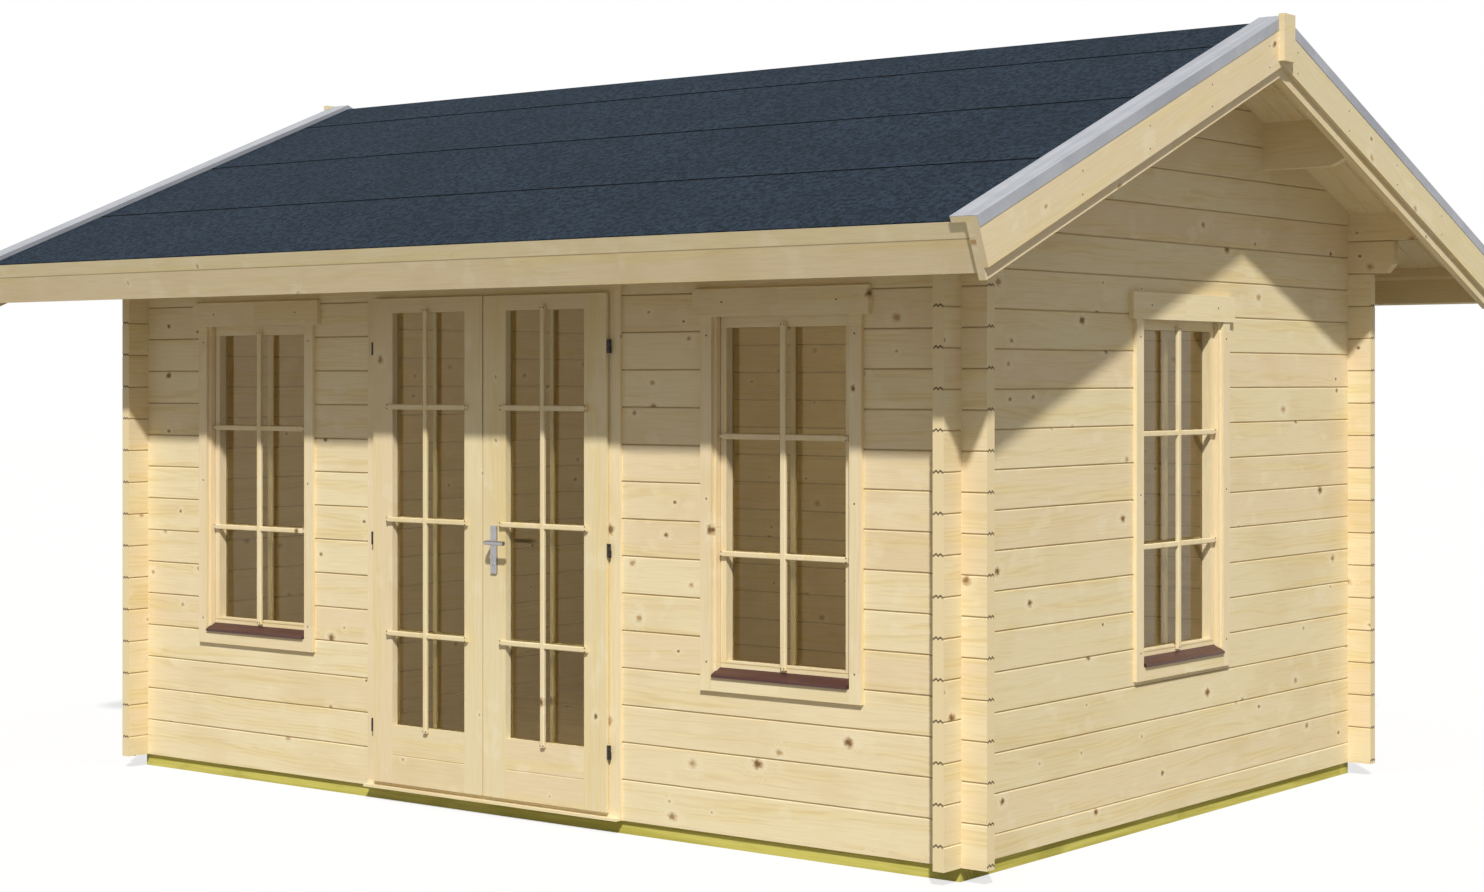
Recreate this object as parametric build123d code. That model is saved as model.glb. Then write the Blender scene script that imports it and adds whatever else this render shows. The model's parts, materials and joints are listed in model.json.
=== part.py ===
from build123d import *
import math
import os

# Garden house of stacked log planks with a double door in the long front wall.
# Sizes are in millimetres. X runs along the ridge, Y from front to back, Z up.
# The origin is under the middle of the house, at the underside of the foundation.
# Heights of walls, windows and doors are given above the top of the foundation.

# Walls, over their outer faces
house_length = 4200.0
house_depth = 2900.0
wall_thickness = 44.0
eave_wall_height = 2256.0

# Logs: the long walls start with a whole course, the gable walls with half a course
course_height = 134.0
first_course_extra = 13.0
log_projection = 100.0
joint_width = 9.0
joint_depth = 4.5
corbel_projection = 202.0
corbel_chamfer_length = 33.0
corbel_chamfer_height = 38.0

# Foundation and floor
foundation_height = 50.0
foundation_inset = 15.0
foundation_beam_width = 70.0
joist_width = 45.0
joist_count = 5
floor_thickness = 18.0
floor_edge_gap = 5.0

# Roof, with depths square to the slope from the top of the felt
roof_slope = 22.5
eave_length = 565.5
verge_overhang = 420.0
felt_thickness = 4.0
felt_step = 2.0
felt_laps = (290.0, 883.0, 1532.0)
roof_board_thickness = 18.0
purlin_thickness = 44.0
purlin_height = 183.0
purlin_offset = 647.0
purlin_chamfer_length = 90.0
purlin_chamfer_height = 40.0
fascia_thickness = 18.0
fascia_upper_depth = 60.0
fascia_lower_depth = 170.0
eave_batten_thickness = 35.0
eave_batten_depth = 62.0

# Verges: two boards under a cap, and a bent metal strip over the cap
bargeboard_thickness = 18.0
bargeboard_depth = 150.0
verge_inner_thickness = 27.0
verge_inner_depth = 190.0
verge_end_beyond_fascia = 10.0
cap_width = 98.0
cap_rise = 15.0
cap_underside_depth = 14.0
flashing_thickness = 2.0
flashing_leg_depth = 21.0
finial_width = 84.0
finial_thickness = 24.0
finial_bottom = 2730.0
finial_top = 2900.0

# Windows: two in the front wall and one in the right gable wall
front_window_offset = 1357.0
window_opening_half_width = 310.0
window_opening_bottom = 538.0
window_opening_top = 1835.0
window_frame_thickness = 22.0
window_frame_inner_lip = 30.0
window_frame_depth = 64.0
inner_casing_thickness = 12.0
sash_gap = 3.0
sash_face_recess = 20.0
sash_thickness = 44.0
sash_stile_width = 25.0
sash_rail_height = 43.0
sash_rebate = 8.0
sash_groove_bottom = 593.0
sash_groove_height = 4.0
sash_groove_depth = 3.0
glass_thickness = 4.0
window_glass_recess = 55.0
casing_half_width = 350.0
casing_board_width = 50.0
casing_thickness = 15.0
casing_bottom = 499.0
casing_side_top = 1804.0
casing_head_half_width = 382.0
casing_head_top = 1902.0
casing_head_thickness = 20.0
sill_half_width = 294.0
sill_underside = 548.0
sill_front_height = 8.0
sill_back_height = 32.0
sill_projection = 24.0

# Door opening and frame
door_centre = -30.5
left_leaf_width = 592.0
right_leaf_width = 618.0
leaf_gap = 7.0
leaf_bottom = 26.0
leaf_top = 1899.0
leaf_clearance = 5.0
leaf_frame_lap = 15.0
door_casing_reach = 51.0
door_casing_thickness = 12.0
door_frame_thickness = 40.0
door_casing_bottom = 10.0
threshold_projection = 12.0
drip_board_projection = 36.0

# Door leaves
leaf_thickness = 40.0
leaf_lip_thickness = 13.0
hinge_stile_width = 107.5
left_meeting_stile_width = 93.0
right_meeting_stile_width = 116.0
bottom_rail_top = 250.0
top_rail_bottom = 1843.0
door_glass_recess = 27.0
door_glass_rebate = 9.0
rail_joint_height = 135.0
rail_joint_width = 5.0

# Hinges: a knuckle with its pin on the frame, and a knuckle on the leaf above it
hinge_heights = (243.0, 969.0, 1706.0)
hinge_axis_offset = 8.0
knuckle_radius = 7.0
knuckle_height = 24.5
knuckle_gap = 1.0
hinge_pin_radius = 3.0
hinge_pin_clearance = 0.5
hinge_plate_thickness = 3.0
hinge_plate_clearance = 0.3
frame_plate_depth = 20.0
leaf_plate_depth = 15.0

# Lever handle on the right leaf
handle_edge_distance = 59.5
handle_plate_width = 31.0
handle_plate_bottom = 862.0
handle_plate_top = 1041.0
handle_plate_thickness = 8.0
handle_plate_corner = 4.0
lever_height = 980.0
lever_radius = 8.0
lever_reach = 102.0
lever_neck = 50.0
lever_bend = 14.0
spindle_radius = 5.0
spindle_clearance = 1.0
lever_plate_gap = 1.0

# Room left beside a cutting tool so that it passes right through
cut_margin = 1.0

# Sides of the small round rods and holes of the hinges and the handle
rod_sides = 16
lever_sides = 12

# Values worked out from the sizes above
half_length = house_length / 2
half_depth = house_depth / 2
slope = math.radians(roof_slope)
wall_base = foundation_height
roof_under = felt_thickness + roof_board_thickness
ridge_z = wall_base + eave_wall_height + half_depth * math.tan(slope) + roof_under / math.cos(slope)
slope_length = half_depth / math.cos(slope) + eave_length
board_end = slope_length - fascia_thickness
bargeboard_face = half_length + verge_overhang
bargeboard_back = bargeboard_face - bargeboard_thickness
verge_inner_face = bargeboard_back - verge_inner_thickness
cap_inner_edge = bargeboard_face - cap_width
verge_end = slope_length + verge_end_beyond_fascia
front_face = -half_depth
front_inner_face = front_face + wall_thickness
left_leaf_edge = door_centre - (left_leaf_width + leaf_gap + right_leaf_width) / 2
right_leaf_edge = left_leaf_edge + left_leaf_width + leaf_gap + right_leaf_width
leaf_inset = leaf_frame_lap + leaf_clearance
leaf_face = front_face - door_casing_thickness - leaf_clearance - leaf_lip_thickness
leaf_back = leaf_face + leaf_thickness
threshold_top = wall_base + leaf_bottom - leaf_clearance
FRONT = -1
BACK = 1
LEFT = -1
RIGHT = 1


def block(x, y, z):
    """Box between a low and a high limit on each axis."""
    centre = Pos((x[0] + x[1]) / 2, (y[0] + y[1]) / 2, (z[0] + z[1]) / 2)
    return centre * Box(abs(x[1] - x[0]), abs(y[1] - y[0]), abs(z[1] - z[0]))


def prism_x(points, x):
    """Solid between two X limits, with its section given as (y, z) points."""
    outline = Polyline(*[(x[0], y, z) for y, z in points], close=True)
    return extrude(make_face(outline), amount=x[1] - x[0], dir=(1, 0, 0))


def prism_y(points, y):
    """Solid between two Y limits, with its section given as (x, z) points."""
    outline = Polyline(*[(x, y[0], z) for x, z in points], close=True)
    return extrude(make_face(outline), amount=y[1] - y[0], dir=(0, 1, 0))


def fuse(solids):
    """All the given solids as one."""
    whole = solids[0]
    for solid in solids[1:]:
        whole = whole + solid
    return whole


def group(solids):
    """Pieces of one node that don't touch each other."""
    return Compound(children=[solid for piece in solids for solid in piece.solids()])


def slope_z(y, depth):
    """Height, over a distance y from the ridge, of the plane at a depth below the felt."""
    return ridge_z - abs(y) * math.tan(slope) - depth / math.cos(slope)


def slope_point(side, along, depth):
    """Point at a distance down one roof slope and a depth square to it."""
    y = side * (along * math.cos(slope) - depth * math.sin(slope))
    return (y, ridge_z - along * math.sin(slope) - depth * math.cos(slope))


def slope_board(side, x, depths, end, start=None):
    """Board that follows one roof slope, mitred at the ridge unless a start is given."""
    if start is None:
        upper = [(0, slope_z(0, depths[1])), (0, slope_z(0, depths[0]))]
    else:
        upper = [slope_point(side, start, depths[1]), slope_point(side, start, depths[0])]
    lower = [slope_point(side, end, depths[0]), slope_point(side, end, depths[1])]
    return prism_x(upper + lower, x)


def gable_span(gable, inner, outer):
    """X limits of a piece at the left or the right gable, from two distances to the middle."""
    return (inner, outer) if gable == RIGHT else (-outer, -inner)


def joint_heights(first, top):
    """Heights of the joints between the courses, from the first one to below the top."""
    count = int((top - first) / course_height) + 1
    heights = [first + course_height * k for k in range(count)]
    return [z for z in heights if z < top - joint_width]


long_wall_top = slope_z(half_depth, roof_under)
long_course_base = wall_base + first_course_extra
long_joints = joint_heights(long_course_base + course_height, long_wall_top)
gable_joints = joint_heights(long_course_base + course_height / 2, slope_z(0, roof_under))


def log_outline(outer, inner, bottom, tops, joints):
    """Section of stacked logs with a V joint on both faces wherever two logs meet."""
    inward = math.copysign(1, inner - outer)
    half_joint = joint_width / 2
    points = [(outer, bottom)]
    for z in joints:
        points += [(outer, z - half_joint), (outer + inward * joint_depth, z), (outer, z + half_joint)]
    points += [(outer, tops[0]), (inner, tops[1])]
    for z in reversed(joints):
        points += [(inner, z + half_joint), (inner - inward * joint_depth, z), (inner, z - half_joint)]
    points += [(inner, bottom)]
    return points


def log_end_outline():
    """Outline of a long wall seen from the front: square log ends, a corbelled log and a top log
    that reaches the verge as the purlins do."""
    reach = half_length + log_projection
    lower_reach = half_length + corbel_projection
    upper_reach = verge_inner_face
    lower_z, upper_z = long_joints[-2:]
    right = [
        (reach, wall_base),
        (reach, lower_z),
        (lower_reach - corbel_chamfer_length, lower_z),
        (lower_reach, lower_z + corbel_chamfer_height),
        (lower_reach, upper_z),
        (upper_reach - purlin_chamfer_length, upper_z),
        (upper_reach, upper_z + purlin_chamfer_height),
        (upper_reach, ridge_z),
    ]
    left = [(-x, z) for x, z in reversed(right)]
    return right + left


def corner_notches(y, centre_z):
    """Cuts at both ends of a long wall, where the gable logs cross it."""
    half_notch = course_height / 4
    cuts = []
    for gable in (LEFT, RIGHT):
        for z in centre_z:
            x = gable_span(gable, half_length - wall_thickness, half_length)
            cuts.append(block(x, y, (z - half_notch, z + half_notch)))
    return cuts


def long_wall(side):
    """Whole log wall under one eave, its logs notched for the logs of the gable walls."""
    outer = side * half_depth
    inner = side * (half_depth - wall_thickness)
    reach = verge_inner_face
    tops = (long_wall_top, slope_z(half_depth - wall_thickness, roof_under))
    stack = prism_x(log_outline(outer, inner, wall_base, tops, long_joints), (-reach, reach))
    through = (min(outer, inner) - cut_margin, max(outer, inner) + cut_margin)
    wall = stack & prism_y(log_end_outline(), through)
    return wall - corner_notches(through, [long_course_base] + long_joints) - bottom_notches(through)


def long_wall_zones(side):
    """Spaces of a long wall below and above the joint under its corbelled top logs."""
    y = sorted((side * (half_depth + cut_margin), side * (half_depth - wall_thickness - cut_margin)))
    reach = (-bargeboard_face, bargeboard_face)
    return block(reach, y, (0, long_joints[-2])), block(reach, y, (long_joints[-2], ridge_z))


def bottom_notches(y):
    """Cuts under the first log of a long wall, down to the foundation."""
    cuts = []
    for gable in (LEFT, RIGHT):
        x = gable_span(gable, half_length - wall_thickness, half_length)
        cuts.append(block(x, y, (wall_base - cut_margin, long_course_base)))
    return cuts


def gable_wall(gable, purlins):
    """Whole gable wall under both slopes, notched for the long walls and cut for the purlins."""
    outer = gable * half_length
    inner = gable * (half_length - wall_thickness)
    reach = half_depth + log_projection
    half_notch = course_height / 4
    tops = (ridge_z, ridge_z)
    stack = prism_y(log_outline(outer, inner, wall_base, tops, gable_joints), (-reach, reach))
    through = (min(outer, inner) - cut_margin, max(outer, inner) + cut_margin)
    roofline = [
        (-reach, wall_base),
        (-reach, slope_z(reach, roof_under)),
        (0, slope_z(0, roof_under)),
        (reach, slope_z(reach, roof_under)),
        (reach, wall_base),
    ]
    slots = []
    for side in (FRONT, BACK):
        y = sorted((side * half_depth, side * (half_depth - wall_thickness)))
        for z in [long_course_base] + long_joints:
            slot_top = ridge_z if z == long_joints[-1] else z + course_height - half_notch
            slots.append(block(through, y, (z + half_notch, slot_top)))
    return (stack & prism_x(roofline, through)) - slots - purlins


def purlin(y_low, y_high):
    """Roof beam through both gable walls, with its lower ends chamfered beneath the verges."""
    top = max(slope_z(y_low, roof_under), slope_z(y_high, roof_under))
    if y_low < 0 < y_high:
        top = slope_z(0, roof_under)
    bottom = top - purlin_height
    under_roof = [(y_low, bottom), (y_low, slope_z(y_low, roof_under))]
    if y_low < 0 < y_high:
        under_roof.append((0, top))
    under_roof += [(y_high, slope_z(y_high, roof_under)), (y_high, bottom)]
    end = verge_inner_face
    side_view = [
        (-end, top + cut_margin),
        (-end, bottom + purlin_chamfer_height),
        (-end + purlin_chamfer_length, bottom),
        (end - purlin_chamfer_length, bottom),
        (end, bottom + purlin_chamfer_height),
        (end, top + cut_margin),
    ]
    return prism_x(under_roof, (-end, end)) & prism_y(side_view, (y_low, y_high))


def side_purlin(side):
    """Purlin half way down one slope."""
    y = sorted((side * purlin_offset, side * (purlin_offset + purlin_thickness)))
    return purlin(*y)


def felt(side):
    """Roofing felt in strips, each strip lapped under the lower edge of the one above it."""
    top = [(0, slope_z(0, 0))]
    for lap in felt_laps:
        top += [slope_point(side, lap, 0), slope_point(side, lap, felt_step)]
    top += [slope_point(side, slope_length, 0), slope_point(side, slope_length, felt_thickness)]
    return prism_x(top + [(0, slope_z(0, felt_thickness))], (-cap_inner_edge, cap_inner_edge))


def verge_boards(side, inner, outer, depths):
    """A board beneath the edge of one slope at both gables."""
    spans = [gable_span(gable, inner, outer) for gable in (LEFT, RIGHT)]
    return group([slope_board(side, span, depths, verge_end) for span in spans])


def verge_caps(side):
    """Cap boards that sit on the roof boards and reach down over the two verge boards."""
    caps = []
    for gable in (LEFT, RIGHT):
        flat = gable_span(gable, cap_inner_edge, bargeboard_face)
        over_boards = gable_span(gable, verge_inner_face, bargeboard_face)
        upper = slope_board(side, flat, (-cap_rise, felt_thickness), verge_end)
        lower = slope_board(side, over_boards, (felt_thickness, cap_underside_depth), verge_end)
        caps.append(upper + lower)
    return group(caps)


def flashing_strip(side, gable):
    """Bent strip over the top of one cap, down its outer edge and down to the felt inside it."""
    outer = bargeboard_face + flashing_thickness
    inner = cap_inner_edge - flashing_thickness
    fold = -cap_rise - flashing_thickness
    sheet = slope_board(side, gable_span(gable, inner, outer), (fold, -cap_rise), verge_end)
    outer_span = gable_span(gable, bargeboard_face, outer)
    outer_leg = slope_board(side, outer_span, (fold, flashing_leg_depth), verge_end)
    inner_span = gable_span(gable, inner, cap_inner_edge)
    inner_leg = slope_board(side, inner_span, (fold, 0), slope_length)
    return sheet + outer_leg + inner_leg


def finial(gable):
    """Upright board over the mitre of the bargeboards, rebated for the flashing."""
    x = gable_span(gable, bargeboard_face, bargeboard_face + finial_thickness)
    z = (wall_base + finial_bottom, wall_base + finial_top)
    board = block(x, (-finial_width / 2, finial_width / 2), z)
    return board - flashing_strip(FRONT, gable) - flashing_strip(BACK, gable)


def ring(half_width, z, y, width, height):
    """Frame around an opening, with uprights of one width and rails of one height."""
    outside = block((-half_width, half_width), y, z)
    hollow_x = (-half_width + width, half_width - width)
    hollow_z = (z[0] + height, z[1] - height)
    return outside - block(hollow_x, (y[0] - cut_margin, y[1] + cut_margin), hollow_z)


# A window is drawn with the outer face of its wall at y = 0 and the room at +y.
window_z = (wall_base + window_opening_bottom, wall_base + window_opening_top)
sash_half_width = window_opening_half_width - window_frame_thickness - sash_gap
sash_z = (window_z[0] + window_frame_thickness, window_z[1] - window_frame_thickness - sash_gap)


def window_casing():
    """Cover boards on the outside: two uprights, a bottom board and a wider head board."""
    side_z = (wall_base + casing_bottom, wall_base + casing_side_top)
    inner = casing_half_width - casing_board_width
    y = (-casing_thickness, 0)
    left = block((-casing_half_width, -inner), y, side_z)
    right = block((inner, casing_half_width), y, side_z)
    bottom = block((-inner, inner), y, (side_z[0], wall_base + sill_underside))
    head_x = (-casing_head_half_width, casing_head_half_width)
    head = block(head_x, (-casing_head_thickness, 0), (side_z[1], wall_base + casing_head_top))
    return fuse([left, right, bottom, head])


def window_frame():
    """Lining through the wall with a cover lip on the room side."""
    lining_y = (0, window_frame_depth)
    rim = window_frame_thickness
    lining = ring(window_opening_half_width, window_z, lining_y, rim, rim)
    lip_half_width = window_opening_half_width + window_frame_inner_lip
    lip_z = (window_z[0] - window_frame_inner_lip, window_z[1] + window_frame_inner_lip)
    lip_y = (wall_thickness, wall_thickness + inner_casing_thickness)
    lip_width = window_frame_inner_lip + window_frame_thickness
    lip = ring(lip_half_width, lip_z, lip_y, lip_width, lip_width)
    return lining + lip


def window_pane():
    """Glass let into the grooves of a sash."""
    side = sash_stile_width - sash_rebate
    rim = sash_rail_height - sash_rebate
    x = (-sash_half_width + side, sash_half_width - side)
    y = (window_glass_recess, window_glass_recess + glass_thickness)
    return block(x, y, (sash_z[0] + rim, sash_z[1] - rim))


def window_sash():
    """Sash frame with a groove for its glass, standing on the lower part of the window frame."""
    y = (sash_face_recess, sash_face_recess + sash_thickness)
    groove_x = (-sash_half_width - cut_margin, sash_half_width + cut_margin)
    groove_y = (sash_face_recess - cut_margin, sash_face_recess + sash_groove_depth)
    groove_bottom = wall_base + sash_groove_bottom
    groove = block(groove_x, groove_y, (groove_bottom, groove_bottom + sash_groove_height))
    sash = ring(sash_half_width, sash_z, y, sash_stile_width, sash_rail_height)
    return sash - window_pane() - groove


def window_sill():
    """Sloping sill strip between the upright casings, in front of the sash."""
    low = wall_base + sill_underside
    section = [
        (-sill_projection, low),
        (-sill_projection, low + sill_front_height),
        (sash_face_recess, low + sill_back_height),
        (sash_face_recess, window_z[0] + window_frame_thickness),
        (0, window_z[0] + window_frame_thickness),
        (0, low),
    ]
    frame_inner = window_opening_half_width - window_frame_thickness
    outside = prism_x(section, (-sill_half_width, sill_half_width))
    kept = block((-frame_inner, frame_inner), (0, sash_face_recess), (low, low + course_height))
    in_front = block((-sill_half_width, sill_half_width), (-sill_projection, 0), (low, low + course_height))
    return outside & (kept + in_front)


def place_windows(piece):
    """The three windows: two in the front wall and one in the right gable wall."""
    spots = [
        Pos(-front_window_offset, front_face, 0),
        Pos(front_window_offset, front_face, 0),
        Pos(half_length, 0, 0) * Rot(0, 0, 90),
    ]
    return [spot * piece for spot in spots]


def window_opening():
    """Space that a window takes out of its wall."""
    x = (-window_opening_half_width, window_opening_half_width)
    return block(x, (-cut_margin, wall_thickness + cut_margin), window_z)


# The door frame holds the cut logs in a channel: casing, lining and inner casing
frame_inner_x = (left_leaf_edge + leaf_frame_lap, right_leaf_edge - leaf_frame_lap)
frame_inner_top = wall_base + leaf_top - leaf_frame_lap
door_opening_x = (frame_inner_x[0] - door_frame_thickness, frame_inner_x[1] + door_frame_thickness)
door_opening_top = frame_inner_top + door_frame_thickness
door_casing_x = (left_leaf_edge - door_casing_reach, right_leaf_edge + door_casing_reach)
door_casing_top = wall_base + leaf_top + door_casing_reach
hinge_axis_y = leaf_face + leaf_lip_thickness / 2


def portal(outer_x, top, y, bottom):
    """Three sides of a door surround, open at the bottom."""
    outside = block(outer_x, y, (bottom, top))
    inside_y = (y[0] - cut_margin, y[1] + cut_margin)
    return outside - block(frame_inner_x, inside_y, (bottom - cut_margin, frame_inner_top))


def hinge_centres(x):
    """Middle of each hinge on the axis at x."""
    return [(x, hinge_axis_y, wall_base + z) for z in hinge_heights]


def rod(start, direction, length, radius):
    """Straight round bar from a point along a direction."""
    plane = Plane(origin=start, z_dir=direction)
    return extrude(plane * RegularPolygon(radius, rod_sides), amount=length)


def frame_plate(centre, clearance):
    """Upright plate that holds the lower knuckle of a hinge in the frame."""
    x, y, z = centre
    half = hinge_plate_thickness / 2 + clearance
    y_limits = (y, front_face - door_casing_thickness + frame_plate_depth)
    z_limits = (z - knuckle_gap / 2 - knuckle_height - clearance, z - knuckle_gap / 2 + clearance)
    return block((x - half, x + half), y_limits, z_limits)


def leaf_plate(centre, inward, clearance):
    """Upright plate that holds the upper knuckle of a hinge in the edge of the leaf."""
    x, y, z = centre
    half = hinge_plate_thickness / 2 + clearance
    x_limits = sorted((x, x + inward * (hinge_axis_offset + leaf_plate_depth)))
    z_limits = (z + knuckle_gap / 2 - clearance, z + knuckle_gap / 2 + knuckle_height + clearance)
    return block(x_limits, (y - half, y + half), z_limits)


left_hinges = hinge_centres(left_leaf_edge - hinge_axis_offset)
right_hinges = hinge_centres(right_leaf_edge + hinge_axis_offset)


def door_frame():
    """Casing, lining and inner casing of the double door in one piece."""
    casing_y = (front_face - door_casing_thickness, front_face)
    casing = portal(door_casing_x, door_casing_top, casing_y, wall_base + door_casing_bottom)
    lining = portal(door_opening_x, door_opening_top, (front_face, front_inner_face), threshold_top)
    inner_y = (front_inner_face, front_inner_face + inner_casing_thickness)
    inner = portal(door_casing_x, door_casing_top, inner_y, threshold_top)
    slots = [frame_plate(centre, hinge_plate_clearance) for centre in left_hinges + right_hinges]
    return fuse([casing, lining, inner]) - slots


def door_threshold():
    """Low board between the casings, under the leaves and the lining, with a drip board."""
    z = (wall_base, threshold_top)
    outer = block(frame_inner_x, (front_face - threshold_projection, front_face), z)
    inner = block(door_opening_x, (front_face, front_inner_face), z)
    drip_z = (wall_base, wall_base + door_casing_bottom)
    drip = block(door_casing_x, (front_face - drip_board_projection, front_face), drip_z)
    return fuse([outer, inner, drip])


def hinge_pin(centre):
    """Lower knuckle of a hinge with its upright pin and its plate into the frame."""
    x, y, z = centre
    foot = z - knuckle_gap / 2 - knuckle_height
    knuckle = rod((x, y, foot), (0, 0, 1), knuckle_height, knuckle_radius)
    pin = rod((x, y, foot), (0, 0, 1), 2 * knuckle_height + knuckle_gap, hinge_pin_radius)
    return knuckle + pin + frame_plate(centre, 0)


def hinge_barrel(centre, inward):
    """Upper knuckle of a hinge, bored for the pin, with its plate into the leaf."""
    x, y, z = centre
    foot = z + knuckle_gap / 2
    barrel = rod((x, y, foot), (0, 0, 1), knuckle_height, knuckle_radius)
    bore_start = (x, y, foot - cut_margin)
    bore_length = knuckle_height + 2 * cut_margin
    bore = rod(bore_start, (0, 0, 1), bore_length, hinge_pin_radius + hinge_pin_clearance)
    return barrel + leaf_plate(centre, inward, 0) - bore


def leaf_span(edge, inward, near, far):
    """X limits of a piece of a leaf, from two distances to its hinge edge."""
    return sorted((edge + inward * near, edge + inward * far))


def leaf_pane(edge, inward, width, meeting_stile, rim):
    """Space or glass of a leaf, which reaches a rim beyond the clear opening."""
    x = leaf_span(edge, inward, hinge_stile_width - rim, width - meeting_stile + rim)
    z = (wall_base + bottom_rail_top - rim, wall_base + top_rail_bottom + rim)
    y = (leaf_face + door_glass_recess, leaf_face + door_glass_recess + glass_thickness)
    if rim == 0:
        y = (leaf_face - cut_margin, leaf_back + cut_margin)
    return block(x, y, z)


def rail_joint(edge, inward, width, meeting_stile):
    """V joint on the face of the bottom rail, where its two boards meet."""
    z = wall_base + rail_joint_height
    x = leaf_span(edge, inward, hinge_stile_width, width - meeting_stile)
    half_joint = rail_joint_width / 2
    groove = [(leaf_face, z - half_joint), (leaf_face + half_joint, z), (leaf_face, z + half_joint)]
    return prism_x(groove, x)


def door_leaf(edge, inward, width, meeting_stile, hinges):
    """Glazed leaf whose lip laps the frame at the hinge side and the top."""
    lip_y = (leaf_face, leaf_face + leaf_lip_thickness)
    lip = block(leaf_span(edge, inward, 0, width), lip_y, (wall_base + leaf_bottom, wall_base + leaf_top))
    body_z = (wall_base + leaf_bottom, wall_base + leaf_top - leaf_inset)
    body = block(leaf_span(edge, inward, leaf_inset, width), (lip_y[1], leaf_back), body_z)
    leaf = lip + body
    leaf = leaf - leaf_pane(edge, inward, width, meeting_stile, 0)
    leaf = leaf - leaf_pane(edge, inward, width, meeting_stile, door_glass_rebate)
    leaf = leaf - rail_joint(edge, inward, width, meeting_stile)
    return leaf - [leaf_plate(centre, inward, hinge_plate_clearance) for centre in hinges]


handle_x = right_leaf_edge - right_leaf_width + handle_edge_distance
handle_z = wall_base + lever_height


def spindle_hole():
    """Hole through the leaf and both plates for the spindle of the lever."""
    start = (handle_x, leaf_face - handle_plate_thickness - cut_margin, handle_z)
    length = leaf_thickness + 2 * handle_plate_thickness + 2 * cut_margin
    return rod(start, (0, 1, 0), length, spindle_radius + spindle_clearance)


def handle_plates():
    """Long plates with rounded corners on both faces of the right leaf."""
    x = (handle_x - handle_plate_width / 2, handle_x + handle_plate_width / 2)
    z = (wall_base + handle_plate_bottom, wall_base + handle_plate_top)
    outer_y = (leaf_face - handle_plate_thickness, leaf_face)
    inner_y = (leaf_back, leaf_back + handle_plate_thickness)
    plates = []
    for y in (outer_y, inner_y):
        plate = block(x, y, z)
        plate = fillet(plate.edges().filter_by(Axis.Y), handle_plate_corner)
        plates.append(plate - spindle_hole())
    return plates


def lever_arm(plate_face, outward):
    """Round neck that bends into the grip of the lever, parallel to the leaf."""
    start_y = plate_face + outward * lever_plate_gap
    neck_y = plate_face + outward * lever_neck
    path = FilletPolyline(
        (handle_x, start_y, handle_z),
        (handle_x, neck_y, handle_z),
        (handle_x + lever_reach, neck_y, handle_z),
        radius=lever_bend,
    )
    plane = Plane(origin=(handle_x, start_y, handle_z), z_dir=(0, outward, 0))
    return sweep(plane * RegularPolygon(lever_radius, lever_sides), path=path)


def door_lever():
    """Outer and inner lever on one spindle."""
    outer_face = leaf_face - handle_plate_thickness
    inner_face = leaf_back + handle_plate_thickness
    length = inner_face - outer_face + 2 * lever_plate_gap
    spindle = rod((handle_x, outer_face - lever_plate_gap, handle_z), (0, 1, 0), length, spindle_radius)
    return lever_arm(outer_face, FRONT) + spindle + lever_arm(inner_face, BACK)


def foundation_beams_long():
    """Treated beams under the front and the back wall."""
    x = (-half_length + foundation_inset, half_length - foundation_inset)
    outer = half_depth - foundation_inset
    beams = []
    for side in (FRONT, BACK):
        y = sorted((side * outer, side * (outer - foundation_beam_width)))
        beams.append(block(x, y, (0, foundation_height)))
    return group(beams)


beam_inner_y = half_depth - foundation_inset - foundation_beam_width
beam_inner_x = half_length - foundation_inset - foundation_beam_width


def foundation_beams_short():
    """Treated beams under the gable walls, between the long beams."""
    beams = []
    for gable in (LEFT, RIGHT):
        x = gable_span(gable, beam_inner_x, half_length - foundation_inset)
        beams.append(block(x, (-beam_inner_y, beam_inner_y), (0, foundation_height)))
    return group(beams)


def floor_joists():
    """Joists from the front beam to the back beam, evenly spread under the floor."""
    pitch = 2 * beam_inner_x / (joist_count + 1)
    joists = []
    for k in range(joist_count):
        middle = -beam_inner_x + pitch * (k + 1)
        x = (middle - joist_width / 2, middle + joist_width / 2)
        joists.append(block(x, (-beam_inner_y, beam_inner_y), (0, foundation_height)))
    return group(joists)


def floor_boards():
    """Floor inside the walls, on the joists and the inner edges of the beams."""
    x_reach = half_length - wall_thickness - floor_edge_gap
    y_reach = half_depth - wall_thickness - floor_edge_gap
    z = (foundation_height, foundation_height + floor_thickness)
    return block((-x_reach, x_reach), (-y_reach, y_reach), z)


def slope_pair(make):
    """The same board at the front and at the back eave."""
    return group([make(FRONT), make(BACK)])


def eave_board(side, depths, thickness, end):
    """Board square to the slope along one eave, between the verges."""
    x = (-verge_inner_face, verge_inner_face)
    return slope_board(side, x, depths, end, start=end - thickness)


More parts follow.
